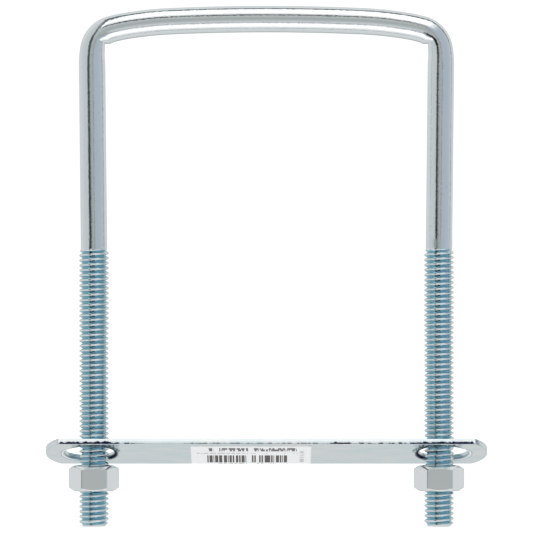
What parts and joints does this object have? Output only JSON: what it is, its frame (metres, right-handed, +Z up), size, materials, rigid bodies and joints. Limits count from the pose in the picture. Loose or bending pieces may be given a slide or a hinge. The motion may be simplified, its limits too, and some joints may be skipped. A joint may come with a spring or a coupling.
{
  "type": "square u-bolt",
  "caption": "Square U-bolt: a bent rod with threaded legs, a flat plate with slots that slides on the legs, and hex nuts, for clamping a square post, tube or beam.",
  "frame": {"origin": "on the plane of the leg ends, midway between the two legs", "axes": "+Z up along the legs to the crossbar; +X along the crossbar and the plate, from the left leg to the right one; +Y through the U, from its front to its back"},
  "size_m": [0.1396, 0.0184, 0.1646],
  "materials": {
    "zinc_rod": "bright zinc plated drawn steel, blue passivate, stronger in the threads",
    "zinc_plate": "zinc plated rolled steel strip, satin",
    "zinc_nut": "zinc plated cold-formed steel, satin flats",
    "paper_label": null
  },
  "bodies": {
    "rod": {"u_rod": "zinc_rod"},
    "plate": {"clamp_plate": "zinc_plate", "label": "paper_label"},
    "left_nut": {"nut_left": "zinc_nut"},
    "right_nut": {"nut_right": "zinc_nut"}
  },
  "joints": [
    {"name": "clamp_travel", "type": "slide", "parent": "rod", "child": "plate", "axis": [0, 0, 1], "range_m": [-0.01111, 0.06667]},
    {"name": "nut_left_turn", "type": "hinge", "parent": "plate", "child": "left_nut", "pos_m": [-0.0546, 0, 0.01515], "axis": [0, 0, 1], "range_deg": [-2520, 15120]},
    {"name": "nut_right_turn", "type": "hinge", "parent": "plate", "child": "right_nut", "pos_m": [0.0546, 0, 0.01515], "axis": [0, 0, 1], "range_deg": [-2520, 15120]}
  ],
  "couplings": [
    {"joint": "nut_left_turn", "follows": "clamp_travel", "rad_per_m": 3957.9},
    {"joint": "nut_right_turn", "follows": "clamp_travel", "rad_per_m": 3957.9}
  ]
}
